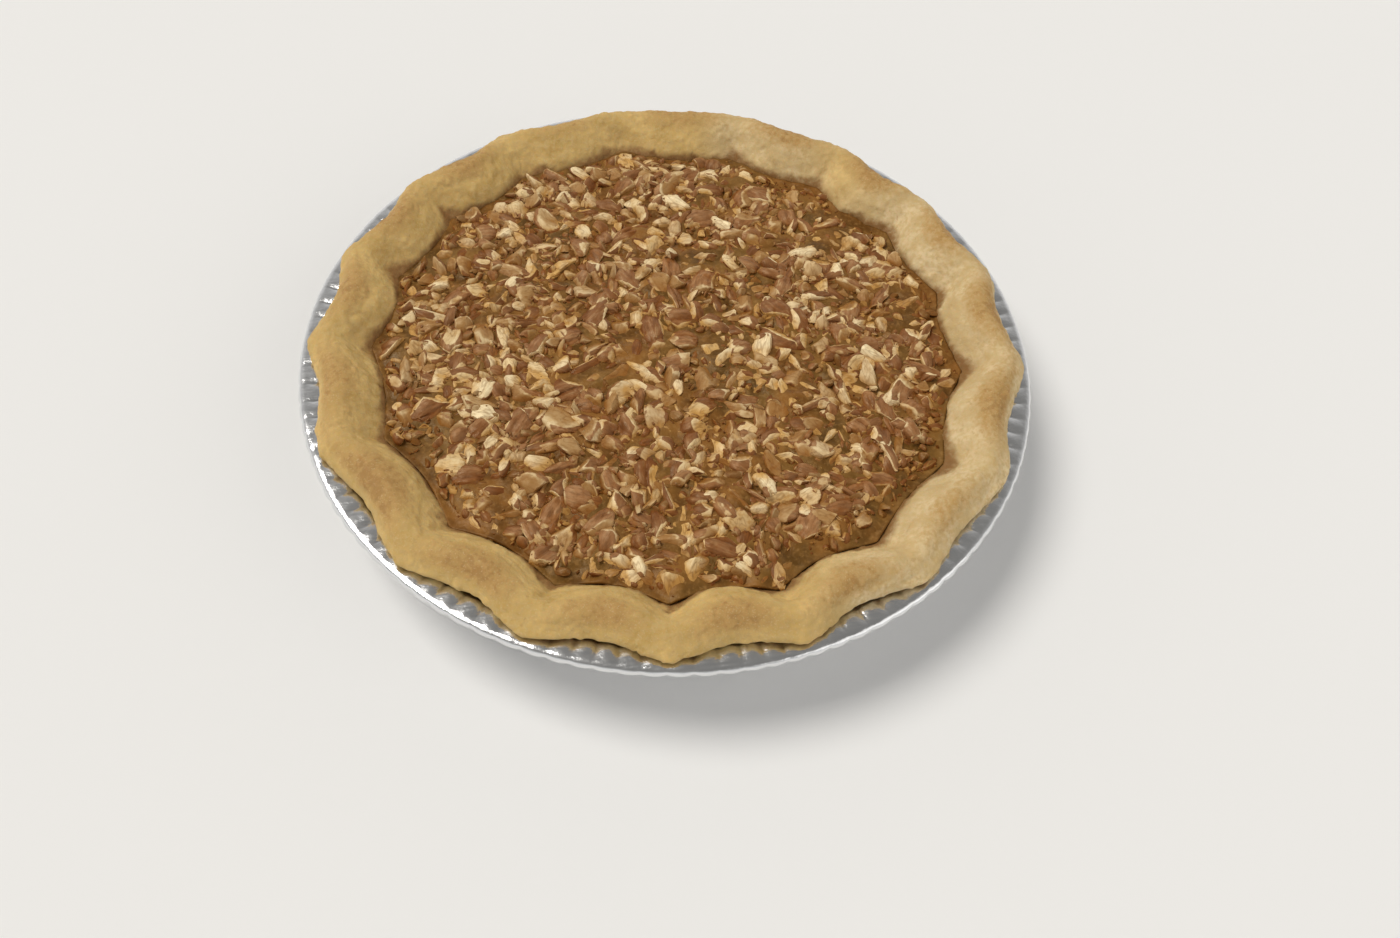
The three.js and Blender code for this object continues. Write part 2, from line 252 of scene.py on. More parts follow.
def pan_rings():
    """The pan's section from the flat of its underside, out, up the wall, round the bead and back
    down the inside, turned. Pleats, a power of a sine round the pan, push the wall in and out
    between corner and brim, and ripple the flange. Also how far out each point stands in its
    pleat, from -1 in a fold to 1 on a crest."""
    lean = (PAN_BRIM_RADIUS - PAN_BASE_RADIUS) / PAN_DEPTH
    bead_turn = np.radians(np.linspace(-150, 62, 14))
    bead = np.stack([PAN_FLANGE_END + PAN_BEAD_RADIUS * np.cos(bead_turn),
                     PAN_DEPTH - PAN_BEAD_RADIUS + PAN_BEAD_RADIUS * np.sin(bead_turn)], -1)
    section = np.vstack([
        bent_line([
            (PAN_FLAT_END, 0),
            (PAN_BASE_RADIUS - PAN_CORNER, 0),
            (PAN_BASE_RADIUS + FOIL + lean * PAN_CORNER, PAN_CORNER),
            (PAN_BRIM_RADIUS + FOIL - lean * FOIL, PAN_DEPTH - 2 * FOIL),
            (PAN_FLANGE_END - PAN_BEAD_RADIUS, PAN_DEPTH - FOIL),
        ], PAN_BEND, PAN_STEP),
        bead,
        bent_line([
            (PAN_FLANGE_END - FOIL, PAN_DEPTH),
            (PAN_BRIM_RADIUS + FOIL, PAN_DEPTH),
            (PAN_BASE_RADIUS + lean * PAN_CORNER, PAN_CORNER + FOIL),
            (PAN_BASE_RADIUS - PAN_CORNER, FOIL),
            (PAN_FLAT_END, FOIL),
        ], PAN_BEND, PAN_STEP),
    ])
    radius, height = section[:, :1], section[:, 1:]
    angles = np.arange(PAN_TURNS) * 2 * np.pi / PAN_TURNS
    drift = 0.5 * np.sin(5 * angles + 1) + 0.35 * np.sin(13 * angles)
    pleat = 2 * np.abs(np.sin(PAN_PLEATS / 2 * angles + drift)) ** 0.7 - 1
    deep = 0.8 + 0.3 * np.sin(7 * angles + 2) * np.sin(11 * angles)
    on_wall = smooth_step(height, 2, 9) * smooth_step(height, PAN_DEPTH + 0.5, PAN_DEPTH - 4)
    on_wall = on_wall * smooth_step(radius, PAN_BASE_RADIUS - 6, PAN_BASE_RADIUS)
    on_flange = smooth_step(radius, PAN_BRIM_RADIUS - 1, PAN_BRIM_RADIUS + 1)
    on_flange = on_flange * smooth_step(radius, PAN_FLANGE_END - 1, PAN_FLANGE_END - 3)
    rings = around(radius + PLEAT_DEPTH * pleat * deep * on_wall,
                   height - FLANGE_RIPPLE * (1 - pleat) * on_flange, angles)
    rings[..., 2] += soft_noise(rings, 14, 3) * smooth_step(height, 6, PAN_DEPTH) * FOIL_DENTS
    return rings, pleat * (on_wall + 0.5 * on_flange)


pan_line, pan_pleat = pan_rings()
pan_points, pan_faces = turned_skin(pan_line)
mesh_piece("foil_pan_pleated", pan_points, pan_faces, foil_finish(), "foil_pan",
           [("pleat", with_poles(pan_pleat))])

# ---- Crust -------------------------------------------------------------------------------------
# Shortcrust pastry rolled out, laid in the pan and pinched by hand into broad flutes along its rim.
# It is baked pale on the inner wall, golden where it stands highest, and yellower on one side.

GAP = 0.3
PASTRY = 4.2
FLUTES = 17
FLUTE_START = math.radians(92.5)
FLUTE_DRIFT = 0.6
FLUTE_DRIFT_CENTRE = math.radians(57)
CREST_RADIUS = 104.2
CREST_SWING = 4.4
CREST_HEIGHT = 38.2
CREST_ROLL = 1.6
RIM_SOFTNESS = 1.4
RIM_HALF_WIDTH = 4.4
RIM_SHOULDER_DROP = 1.8
RIM_TOP_DROP = 0.8
RIM_SIDE_DROP = 3.2
RIM_FOOT = 1
RIM_OVERHANG = 2.2
WALL_ROLL = 0.9
WALL_BULGE, WALL_SAG = 0.6, 0.8
FILLING_EDGE_RADIUS = 93.4
FILLING_EDGE_SWING = 4.2
FILLING_EDGE_HEIGHT = 27
CRUST_TURNS = 1360
SPLIT_DEPTH = 0.3
STAIN_TOP, STAIN_FULL = 4.4, 0.2
BAKE_GRAIN = 50
BAKE_WANDER = 200
GOLDEN_END, PALE_START = 120, 180


def flute_bulge(angles, softness):
    """How far the rim leans in: a power of a half sine over each flute, sharp in the crease where
    softness is under 1 and rounded where it is over 1, times the flute's own size."""
    drift = FLUTE_DRIFT * (1 + np.cos(3 * (angles - FLUTE_DRIFT_CENTRE)))
    along = (FLUTES * (angles - FLUTE_START) + drift) / (2 * np.pi) + FLUTES
    flute = np.floor(along) % FLUTES
    return np.abs(np.sin(np.pi * (along % 1))) ** softness * (0.82 + 0.36 * hashed(flute, 1))


def crest_radius(angles):
    """The rim's centre line: out in the creases, in on the flutes."""
    return CREST_RADIUS + CREST_SWING * (0.5 - flute_bulge(angles, RIM_SOFTNESS))


def crest_height(angles):
    """The rim's top line, lower in the creases and uneven all round."""
    uneven = 0.5 * np.sin(2 * angles + 1) + 0.4 * np.sin(5 * angles + 2.5)
    return CREST_HEIGHT - CREST_ROLL * (1 - flute_bulge(angles, RIM_SOFTNESS)) + uneven


def filling_edge(angles):
    """The radius where the filling meets the pastry: scallops with a corner in each crease."""
    return FILLING_EDGE_RADIUS - FILLING_EDGE_SWING * flute_bulge(angles, 1)


def flowing(keys, steps):
    """Rings between key rings, by a Catmull-Rom curve through each key with its neighbours."""
    padded = np.concatenate([2 * keys[:1] - keys[1:2], keys, 2 * keys[-1:] - keys[-2:-1]])
    rings = [keys[:1]]
    for span, count in enumerate(steps):
        a, b, c, d = padded[span:span + 4]
        t = np.linspace(0, 1, count + 1)[1:, None, None]
        rings.append(0.5 * (2 * b + (c - a) * t + (2 * a - 5 * b + 4 * c - d) * t ** 2
                            + (3 * b - a - 3 * c + d) * t ** 3))
    return np.concatenate(rings)


def crust_rings():
    """The pastry bowl as rings through key rings, from the middle of its underside, out, over the
    rim and back down inside to the middle, and the angles of their points."""
    angles = np.arange(CRUST_TURNS) * 2 * np.pi / CRUST_TURNS
    lean = (PAN_BRIM_RADIUS - PAN_BASE_RADIUS) / PAN_DEPTH
    crest, top = crest_radius(angles), crest_height(angles)
    edge = filling_edge(angles)
    shoulder, shoulder_top = crest - RIM_HALF_WIDTH, top - RIM_SHOULDER_DROP
    level = np.ones_like(angles)
    roll = WALL_ROLL * (1 - 2 * flute_bulge(angles, 1))
    wall_middle = 0.5 * (edge + shoulder) + WALL_BULGE * roll
    wall_middle_height = 0.5 * (FILLING_EDGE_HEIGHT + shoulder_top) - WALL_SAG * roll
    keys = [
        (level, (FOIL + GAP) * level),
        ((PAN_BASE_RADIUS - PAN_CORNER - 2 * GAP) * level, (FOIL + GAP) * level),
        ((PAN_BASE_RADIUS + lean * PAN_CORNER - 3 * GAP) * level,
         (PAN_CORNER + FOIL + GAP) * level),
        ((PAN_BRIM_RADIUS - lean * FOIL - 3 * GAP) * level, (PAN_DEPTH - 1.5 * FOIL) * level),
        ((PAN_BRIM_RADIUS - GAP) * level, (PAN_DEPTH + 1.2 * GAP) * level),
        (crest + RIM_HALF_WIDTH + RIM_FOOT, (PAN_DEPTH + 1.2 * GAP) * level),
        (crest + RIM_HALF_WIDTH + RIM_OVERHANG, (PAN_DEPTH + GAP + 2) * level),
        (crest + RIM_HALF_WIDTH + 0.4, top - RIM_SIDE_DROP),
        (crest + 0.5 * RIM_HALF_WIDTH, top - RIM_TOP_DROP),
        (crest - 0.2 * RIM_HALF_WIDTH, top),
        (shoulder, shoulder_top),
        (wall_middle, wall_middle_height),
        (edge, FILLING_EDGE_HEIGHT * level),
        ((FILLING_EDGE_RADIUS - FILLING_EDGE_SWING) * level,
         (FILLING_EDGE_HEIGHT - PASTRY) * level),
        ((PAN_BASE_RADIUS - PASTRY - 1) * level, (FOIL + GAP + PASTRY) * level),
        (level, (FOIL + GAP + PASTRY) * level),
    ]
    steps = [1, 1, 1, 1, 3, 3, 7, 7, 6, 8, 11, 11, 3, 1, 1]
    flow = flowing(np.array(keys).transpose(0, 2, 1), steps)
    rings = around(flow[..., 0], flow[..., 1], angles)
    return rings, angles


def pastry_relief(rings, angles):
    """Height to add to the baked surface: slow swells, low blisters where a noise is high, a fine
    crumb, thin cracks where another noise crosses zero, folds that gather beside the creases, and
    thin layers along the outer edge."""
    slow = 0.45 * soft_noise(rings, 9, 1) + 0.26 * soft_noise(rings, 4.2, 2)
    blisters = 0.3 * smooth_step(soft_noise(rings, 3.1, 6), 0.3, 0.62)
    crumb = 0.17 * soft_noise(rings, 1.7, 3) + 0.12 * soft_noise(rings, 1.0, 4)
    arc = np.broadcast_to(angles * CREST_RADIUS, rings.shape[:2])
    folds = np.stack([arc / 2.6, rings[..., 2] / 16, 0 * arc], -1)
    near_crease = 1 - smooth_step(flute_bulge(angles, 1), 0.15, 0.6)
    gathers = 0.5 * np.abs(soft_noise(folds, 1, 5)) * near_crease
    reach = np.hypot(rings[..., 0], rings[..., 1])
    outside = smooth_step(reach - crest_radius(angles), 1.5, 4)
    layers = np.stack([arc / 14, rings[..., 2] / 1.1 + 0.3 * soft_noise(rings, 12, 8), 0 * arc], -1)
    leaves = 0.22 * np.abs(soft_noise(layers, 1, 7)) * outside
    split = smooth_step(np.abs(soft_noise(rings, 7, 9)), 0.035, 0.0)
    split = split * smooth_step(soft_noise(rings, 15, 10), 0.1, 0.35)
    return slow + blisters + crumb - gathers - leaves - SPLIT_DEPTH * split


def crust_finish():
    """Baked shortcrust: matt, pale straw, yellower towards -X, with golden tops, faint freckles
    and a soft caramel stain where the syrup has run up the wall."""
    material, tree, shader, place = new_finish("baked_pastry")
    browning = laid_on(tree, "browning")
    broad = mottle(tree, place, 9 * MM)
    fine = mottle(tree, place, 1.6 * MM)
    grain = mottle(tree, place, 0.5 * MM, 3.0)
    freckle = mottle(tree, place, 2.6 * MM, 2.0)
    side = shader_node(tree, "SeparateXYZ", {0: place}).outputs[0]
    uneven = mottle(tree, place, BAKE_GRAIN * MM, 1.0)
    uneven = worked_out(tree, "MULTIPLY", uneven, BAKE_WANDER * MM)
    across = worked_out(tree, "ADD", side, uneven)
    wide = ranged(tree, across, GOLDEN_END * MM, PALE_START * MM)
    dull = blended(tree, wide, (0.51, 0.325, 0.093, 1), (0.56, 0.40, 0.185, 1))
    pale = blended(tree, wide, (0.71, 0.482, 0.17, 1), (0.76, 0.595, 0.34, 1))
    pale = blended(tree, ranged(tree, broad, 0.3, 0.7), dull, pale)
    pale = blended(tree, ranged(tree, fine, 0.38, 0.68, 0.0, 0.7), pale, (0.60, 0.425, 0.18, 1))
    toasted = worked_out(tree, "ADD", browning, worked_out(tree, "MULTIPLY", broad, 0.8))
    toasted = worked_out(tree, "ADD", toasted, worked_out(tree, "MULTIPLY", fine, 0.7))
    colour = blended(tree, ranged(tree, toasted, 1.0, 1.9), pale, (0.47, 0.28, 0.09, 1))
    deep = worked_out(tree, "MULTIPLY", browning, worked_out(tree, "ADD", fine, freckle))
    colour = blended(tree, ranged(tree, deep, 0.9, 1.3, 0.0, 0.5), colour, (0.31, 0.155, 0.045, 1))
    dots = ranged(tree, freckle, 0.66, 0.76, 0.0, 0.35)
    colour = blended(tree, dots, colour, (0.40, 0.235, 0.08, 1))
    flour = ranged(tree, grain, 0.55, 0.75, 0.0, 0.35)
    colour = blended(tree, flour, colour, (0.74, 0.60, 0.36, 1))
    patchy = worked_out(tree, "ADD", fine, 0.55)
    soaked = worked_out(tree, "MULTIPLY", laid_on(tree, "stain"), patchy)
    colour = blended(tree, ranged(tree, soaked, 0.1, 1.05), colour, (0.26, 0.13, 0.038, 1))
    tree.links.new(colour, shader.inputs["Base Color"])
    tree.links.new(ranged(tree, fine, 0.3, 0.7, 0.62, 0.82), shader.inputs["Roughness"])
    bump = relief(tree, fine, 0.6, 0.5 * MM)
    bump = relief(tree, grain, 0.6, 0.2 * MM, bump)
    tree.links.new(bump, shader.inputs["Normal"])
    shader.inputs["Specular IOR Level"].default_value = 0.35
    shader.inputs["Subsurface Weight"].default_value = 0.08
    shader.inputs["Subsurface Scale"].default_value = 2 * MM
    return material


def outward(rings):
    """Unit normals of turned rings, from the cross product of the ways round and along them."""
    along = np.gradient(rings, axis=0)
    way_round = np.roll(rings, -1, axis=1) - np.roll(rings, 1, axis=1)
    normals = np.cross(way_round, along)
    return normals / np.maximum(np.linalg.norm(normals, axis=-1, keepdims=True), 1e-9)


crust_line, crust_angles = crust_rings()
ring_number = np.arange(len(crust_line))[:, None]
shown = smooth_step(crust_line[..., 2], PAN_DEPTH - 5, PAN_DEPTH - 2)
shown = shown * smooth_step(ring_number, 4, 7)
lift = pastry_relief(crust_line, crust_angles) * shown
relieved = crust_line + outward(crust_line) * lift[..., None]
rise = crust_line[..., 2] - FILLING_EDGE_HEIGHT
outer_side = smooth_step(ring_number, 30, 18)
on_flutes = 0.55 + 0.45 * flute_bulge(crust_angles, RIM_SOFTNESS)
browning = smooth_step(rise, 5.5, 11.5) * on_flutes + 0.35 * outer_side
wander = 1.3 * soft_noise(crust_line, 6, 12) + 0.5 * soft_noise(crust_line, 1.8, 13)
stain = smooth_step(rise + wander, STAIN_TOP, STAIN_FULL)
crust_points, crust_faces = turned_skin(relieved)
mesh_piece("crust_fluted", crust_points, crust_faces, crust_finish(), "crust",
           [("browning", with_poles(browning)), ("stain", with_poles(stain))])

# ---- Chopped pecans: where each piece lies -----------------------------------------------------
# Shelled pecans chopped coarsely and baked into the top. The largest pieces lie evenly over the
# filling, smaller ones between and on them, a few against the crust, and crumbs fill the chinks.

FILLING_DOME = 2.2
FILLING_RELIEF = 0.5
NUT_FIELD_RADIUS = 84.5
NUT_LIMIT_RADIUS = 87.8
NUT_SINK = 0.06
NUT_COUNT = 214
GOLDEN_ANGLE = math.pi * (3 - math.sqrt(5))
LUMP_SHARE, CHIP_SHARE = 0.42, 0.36
LARGE_FROM = np.array([[10, 7.5, 6], [8, 6, 5], [11, 4, 4.5]])
LARGE_TO = np.array([[16, 11, 7.5], [12, 8.5, 6.5], [16, 5.5, 5.5]])
POOL_GRAIN = 12
KIND_STRETCH = np.array([[1, 1, 1], [1, 0.95, 0.95], [1.3, 0.65, 0.85]])
KIND_SHARES = [0.32, 0.37, 0.31]
SMALL_BIAS = 1.6
SIZE_SPREAD = (0.85, 1.15)
TRIES = 4
FOOTPRINT = 0.34
FOOTPRINT_BELOW = 0.66
NEST_DEPTH = 0.55
KEPT_SHARE, POOL_THINNING = 0.6, 0.25
EDGE_CROWDING = 0.44
CRUST_CLEARANCE, CRUST_CLEARANCE_SHARE = 0.3, 0.38


def filling_top(x, y):
    """The height of the bare filling: a flat topped dome plus two crossed sine swells."""
    reach = np.minimum(1, np.hypot(x, y) / FILLING_EDGE_RADIUS)
    swell = np.sin(x * 0.19 + 1.1) * np.sin(y * 0.17 + 0.4) + 0.6 * np.sin((x + y) * 0.31)
    return (FILLING_EDGE_HEIGHT + FILLING_DOME * (1 - reach ** 4)
            + FILLING_RELIEF * swell * (1 - reach ** 6))


def large_pieces():
    """The largest pieces, on a sunflower spiral, which turns by the golden angle from piece to
    piece as its radius grows with the square root of their number: place, half sizes, kind and
    turns of each."""
    index = np.arange(NUT_COUNT)
    choice = hashed(index, 2)
    kind = np.where(choice <= LUMP_SHARE, 0, np.where(choice <= LUMP_SHARE + CHIP_SHARE, 1, 2))
    share = np.stack([hashed(index, purpose) ** 1.5 for purpose in (4, 5, 6)], -1)
    size = LARGE_FROM[kind] + share * (LARGE_TO[kind] - LARGE_FROM[kind])
    reach = 0.56 * np.hypot(size[:, 0], size[:, 1])
    spread = NUT_FIELD_RADIUS * np.sqrt((index + 0.5) / NUT_COUNT)
    radius = np.minimum(spread, NUT_LIMIT_RADIUS - reach)
    angle = index * GOLDEN_ANGLE + 0.5 * (hashed(index, 3) - 0.5) * np.minimum(1, 9 / radius)
    x, y = radius * np.cos(angle), radius * np.sin(angle)
    place = np.stack([x, y, filling_top(x, y) - NUT_SINK * size[:, 2]], -1)
    turns = np.stack([0.5 * (hashed(index, 11) - 0.5), 0.35 * (hashed(index, 10) - 0.5),
                      2 * np.pi * hashed(index, 12)], -1)
    return {"place": place, "half": size / 2, "kind": kind, "turns": turns}


def pool(x, y):
    """From 0 to 1, where the syrup stands deep over the nuts: the high parts of a broad noise."""
    return smooth_step(soft_noise(np.stack([x, y, 0 * x], -1), POOL_GRAIN, 20), 0.3, 0.7)


def eased_apart(fixed, fixed_radius, loose, loose_radius, margin, rounds):
    """Loose points pushed out of the fixed ones and of each other: in each round every pair that
    is closer than the sum of its radii moves apart by a third of what is missing, and none comes
    nearer to the crust than its margin."""
    loose = loose.copy()
    for _ in range(rounds):
        everyone = np.vstack([fixed, loose])
        radii = np.concatenate([fixed_radius, loose_radius])
        away = loose[:, None] - everyone[None]
        distance = np.hypot(away[..., 0], away[..., 1]) + 1e-6
        missing = np.clip(loose_radius[:, None] + radii[None] - distance, 0, None)
        missing[distance < 1e-5] = 0
        loose += 0.33 * (away / distance[..., None] * missing[..., None]).sum(1)
        limit = filling_edge(np.arctan2(loose[:, 1], loose[:, 0])) - margin
        loose /= np.maximum(1, np.hypot(loose[:, 0], loose[:, 1]) / limit)[:, None]
    return loose


def turned(turns):
    """Rotation matrices that tilt about X, then about Y, and then turn about Z."""
    (cx, cy, cz), (sx, sy, sz) = np.cos(turns).T, np.sin(turns).T
    zero, one = np.zeros_like(cx), np.ones_like(cx)
    about_x = np.stack([one, zero, zero, zero, cx, -sx, zero, sx, cx], -1).reshape(-1, 3, 3)
    about_y = np.stack([cy, zero, sy, zero, one, zero, -sy, zero, cy], -1).reshape(-1, 3, 3)
    about_z = np.stack([cz, -sz, zero, sz, cz, zero, zero, zero, one], -1).reshape(-1, 3, 3)
    return about_z @ about_x @ about_y


def cap_height(pieces, spots):
    """How high each spot lies on the pieces: the top of the highest ellipsoid cap over it."""
    best = np.full(len(spots), -np.inf)
    cos, sin = np.cos(pieces["turns"][:, 2]), np.sin(pieces["turns"][:, 2])
    for start in range(0, len(spots), 2000):
        part = spots[start:start + 2000]
        dx = part[:, None, 0] - pieces["place"][None, :, 0]
        dy = part[:, None, 1] - pieces["place"][None, :, 1]
        along = (cos * dx + sin * dy) / pieces["half"][:, 0]
        across = (cos * dy - sin * dx) / pieces["half"][:, 1]
        inside = np.clip(1 - along ** 2 - across ** 2, 0, None)
        top = pieces["place"][:, 2] + pieces["half"][:, 2] * np.sqrt(inside)
        best[start:start + 2000] = np.where(inside > 0, top, -np.inf).max(1)
    return best


def scattered(count, smallest, largest, tilt, seed, below, above, rounds):
    """Smaller pieces over the field: random places, a little denser towards the crust and fewest
    over the pools, eased apart round the pieces below and kept off the crust by over a third of
    their length. Sizes are drawn between the two limits with more small ones, slivers are
    stretched, and each has any turn."""
    rng = np.random.default_rng(seed)
    kind = rng.choice(3, count, p=KIND_SHARES)
    smallest, largest = np.array(smallest), np.array(largest)
    size = smallest + rng.random((count, 1)) ** SMALL_BIAS * (largest - smallest)
    size = size * rng.uniform(*SIZE_SPREAD, (count, 3)) * KIND_STRETCH[kind]
    margin = CRUST_CLEARANCE + CRUST_CLEARANCE_SHARE * size[:, 0]
    angle = 2 * np.pi * rng.random(TRIES * count)
    radius = (filling_edge(angle) - margin.mean()) * rng.random(TRIES * count) ** EDGE_CROWDING
    start = np.stack([radius * np.cos(angle), radius * np.sin(angle)], -1)
    share = KEPT_SHARE - POOL_THINNING * pool(start[:, 0], start[:, 1])
    start = start[rng.random(TRIES * count) < share][:count]
    footprint = FOOTPRINT * np.sqrt(size[:, 0] * size[:, 1])
    below_footprint = FOOTPRINT_BELOW * np.sqrt(below["half"][:, 0] * below["half"][:, 1])
    spots = eased_apart(below["place"][:, :2], below_footprint, start, footprint, margin, rounds)
    floor = filling_top(spots[:, 0], spots[:, 1])
    ledge = np.maximum(floor, cap_height(below, spots) - NEST_DEPTH * size[:, 2])
    lift = rng.uniform(*above, count) * size[:, 2]
    turns = np.stack([rng.normal(0, tilt, count), rng.normal(0, tilt, count),
                      2 * np.pi * rng.random(count)], -1)
    place = np.column_stack([spots, ledge + lift])
    return {"place": place, "half": size / 2, "kind": kind, "turns": turns}


def together(*groups):
    """Groups of pieces as one group."""
    return {key: np.concatenate([group[key] for group in groups]) for key in groups[0]}


large = large_pieces()
medium = scattered(760, smallest=(5.4, 4.0, 3.4), largest=(10.4, 7.6, 5.6), tilt=0.32, seed=11,
                   below=large, above=(-0.14, 0.16), rounds=30)
bed = together(large, medium)
small = scattered(1650, smallest=(2.9, 2.2, 1.9), largest=(6.0, 4.4, 3.3), tilt=0.5, seed=12,
                  below=bed, above=(-0.12, 0.22), rounds=14)
crumbs = scattered(2700, smallest=(0.9, 0.7, 0.6), largest=(2.0, 1.5, 1.2), tilt=0.8, seed=13,
                   below=bed, above=(-0.1, 0.2), rounds=6)

# ---- Filling -----------------------------------------------------------------------------------
# Syrup and egg filling, set to a soft brown custard that fills the pastry to its edge. Its glossy
# skin creeps up round every larger piece of nut and a little up the crust, and stands in pools.

FILLING_TURNS = 640
FILLING_STEPS = 128
FILLING_INTO_WALL = 0.5
SYRUP_CLIMB = 1.25
CLIMB_MARGIN = 1.1
WALL_CLIMB, WALL_CLIMB_REACH = 0.6, 1.3
POOL_DEPTH = 0.7
POCK_DEPTH, PIT_DEPTH = 0.16, 0.1
SYRUP_SHINE = (1.0, 0.82, 0.55, 1)


def syrup_skin(spots):
    """How far the syrup stands above the bare filling: it climbs near each nut by a bell curve of
    the elliptic distance from its outline, and the climbs of all the nuts level off together."""
    climb = np.zeros(len(spots))
    cos, sin = np.cos(bed["turns"][:, 2]), np.sin(bed["turns"][:, 2])
    for start in range(0, len(spots), 3000):
        part = spots[start:start + 3000]
        dx = part[:, None, 0] - bed["place"][None, :, 0]
        dy = part[:, None, 1] - bed["place"][None, :, 1]
        along = (cos * dx + sin * dy) / (bed["half"][:, 0] + CLIMB_MARGIN)
        across = (cos * dy - sin * dx) / (bed["half"][:, 1] + CLIMB_MARGIN)
        climb[start:start + 3000] = np.exp(-1.6 * (along ** 2 + across ** 2) ** 2).sum(1)
    return SYRUP_CLIMB * (1 - np.exp(-1.1 * climb))


def filling_rings():
    """The filling as rings: its underside and wall follow the pastry, its edge reaches just into
    the wall, and its top steps inward to the middle, with pools, pocks and a climb at the wall."""
    angles = np.arange(FILLING_TURNS) * 2 * np.pi / FILLING_TURNS
    level = np.ones_like(angles)
    floor = FOIL + GAP + PASTRY + GAP
    edge = filling_edge(angles) + FILLING_INTO_WALL
    hidden = [
        around(level, floor * level, angles),
        around((PAN_BASE_RADIUS - PASTRY - 2) * level, floor * level, angles),
        around((FILLING_EDGE_RADIUS - FILLING_EDGE_SWING - 1) * level,
               (FILLING_EDGE_HEIGHT - PASTRY) * level, angles),
        around(edge - 0.6, (FILLING_EDGE_HEIGHT - 0.8) * level, angles),
    ]
    inward = (np.linspace(1, 0.006, FILLING_STEPS) ** 0.92)[:, None]
    top = around(edge * inward, 0 * inward * level, angles)
    flat = top.reshape(-1, 3)
    height = filling_top(flat[:, 0], flat[:, 1]) + syrup_skin(flat[:, :2])
    height += POOL_DEPTH * pool(flat[:, 0], flat[:, 1])
    reach = np.hypot(flat[:, 0], flat[:, 1])
    pocks = POCK_DEPTH * soft_noise(flat, 2.4, 7) + PIT_DEPTH * soft_noise(flat, 1.1, 8)
    height += pocks * smooth_step(reach, FILLING_EDGE_RADIUS, FILLING_EDGE_RADIUS - 4)
    at_wall = (edge * (1 - inward)).ravel()
    wander = 0.25 * soft_noise(flat, 5, 12) + 0.12 * soft_noise(flat, 1.8, 13)
    height += (WALL_CLIMB + wander) * np.exp(-(at_wall / WALL_CLIMB_REACH) ** 2)
    top[..., 2] = height.reshape(top.shape[:2])
    return np.concatenate([hidden, top])


def filling_finish():
    """Set brown sugar custard: caramel in darker and lighter patches, softly glossy, clouded by
    fine egg froth."""
    material, tree, shader, place = new_finish("syrup_filling")
    broad = mottle(tree, place, 8 * MM)
    wide = ranged(tree, mottle(tree, place, 19 * MM, 2.0), 0.35, 0.65)
    fine = mottle(tree, place, 1.4 * MM)
    dark = blended(tree, wide, (0.105, 0.049, 0.009, 1), (0.13, 0.052, 0.009, 1))
    lit = blended(tree, wide, (0.23, 0.114, 0.026, 1), (0.28, 0.12, 0.026, 1))
    colour = blended(tree, ranged(tree, broad, 0.32, 0.68), dark, lit)
    colour = blended(tree, ranged(tree, fine, 0.48, 0.75, 0.0, 0.5), colour, (0.36, 0.19, 0.055, 1))
    tree.links.new(colour, shader.inputs["Base Color"])
    tree.links.new(ranged(tree, fine, 0.3, 0.7, 0.28, 0.50), shader.inputs["Roughness"])
    bump = relief(tree, mottle(tree, place, 1.1 * MM, 3.0), 0.55, 0.35 * MM)
    tree.links.new(bump, shader.inputs["Normal"])
    shader.inputs["Specular IOR Level"].default_value = 0.26
    shader.inputs["Specular Tint"].default_value = SYRUP_SHINE
    return material


filling_points, filling_faces = turned_skin(filling_rings())
mesh_piece("filling_syrup", filling_points, filling_faces, filling_finish(),
           "filling")

# ---- Pecan pieces ------------------------------------------------------------------------------
# Every piece is a bit of kernel: one rounded, ridged, brown skin side, and flat pale faces where
# the knife went through. Syrup has soaked and glazed all of them, most where they are sunk, and
# their colour also darkens towards the bottom as painted shade.

# The glaze tint also serves as painted shade low on the pieces.
GLAZE_AND_SHADE_TINT = (0.69, 0.49, 0.25, 1)
SHINE_TINT = (1.0, 0.84, 0.58, 1)
CHOP_CREASE = math.radians(32)
CUT_JITTER = 0.34
CUT_DEPTHS = (0.5, 0.84)
SKIN_SHIFTS = (0.25, 0.55)
RIDGE_DEPTH = 0.06
GROOVE_DEPTH, GROOVE_WIDTH = 0.4, 0.3
DENT_DEPTH, TEAR_DEPTH = 0.08, 0.09
CURL = 0.3
# Between these heights above the syrup the pieces stop darkening; the darkening is partly syrup
# soaking and partly painted shade.
SOAK_AND_SHADE_FULL_BELOW, SOAK_AND_SHADE_CLEAR_ABOVE = 0.6, 3.0


def ball(level):
    """Unit directions and triangles of an icosphere, an icosahedron whose triangles are split in
    four once for each level over one, as arrays."""
    shape = bmesh.new()
    bmesh.ops.create_icosphere(shape, subdivisions=level, radius=1)
    mesh = bpy.data.meshes.new("ball")
    shape.to_mesh(mesh)
    shape.free()
    points = np.empty(3 * len(mesh.vertices), np.float32)
    mesh.vertices.foreach_get("co", points)
    triangles = np.empty(len(mesh.loops), np.int32)
    mesh.loops.foreach_get("vertex_index", triangles)
    bpy.data.meshes.remove(mesh)
    points = points.reshape(-1, 3).astype(float)
    return points / np.linalg.norm(points, axis=1, keepdims=True), triangles.reshape(-1, 3)


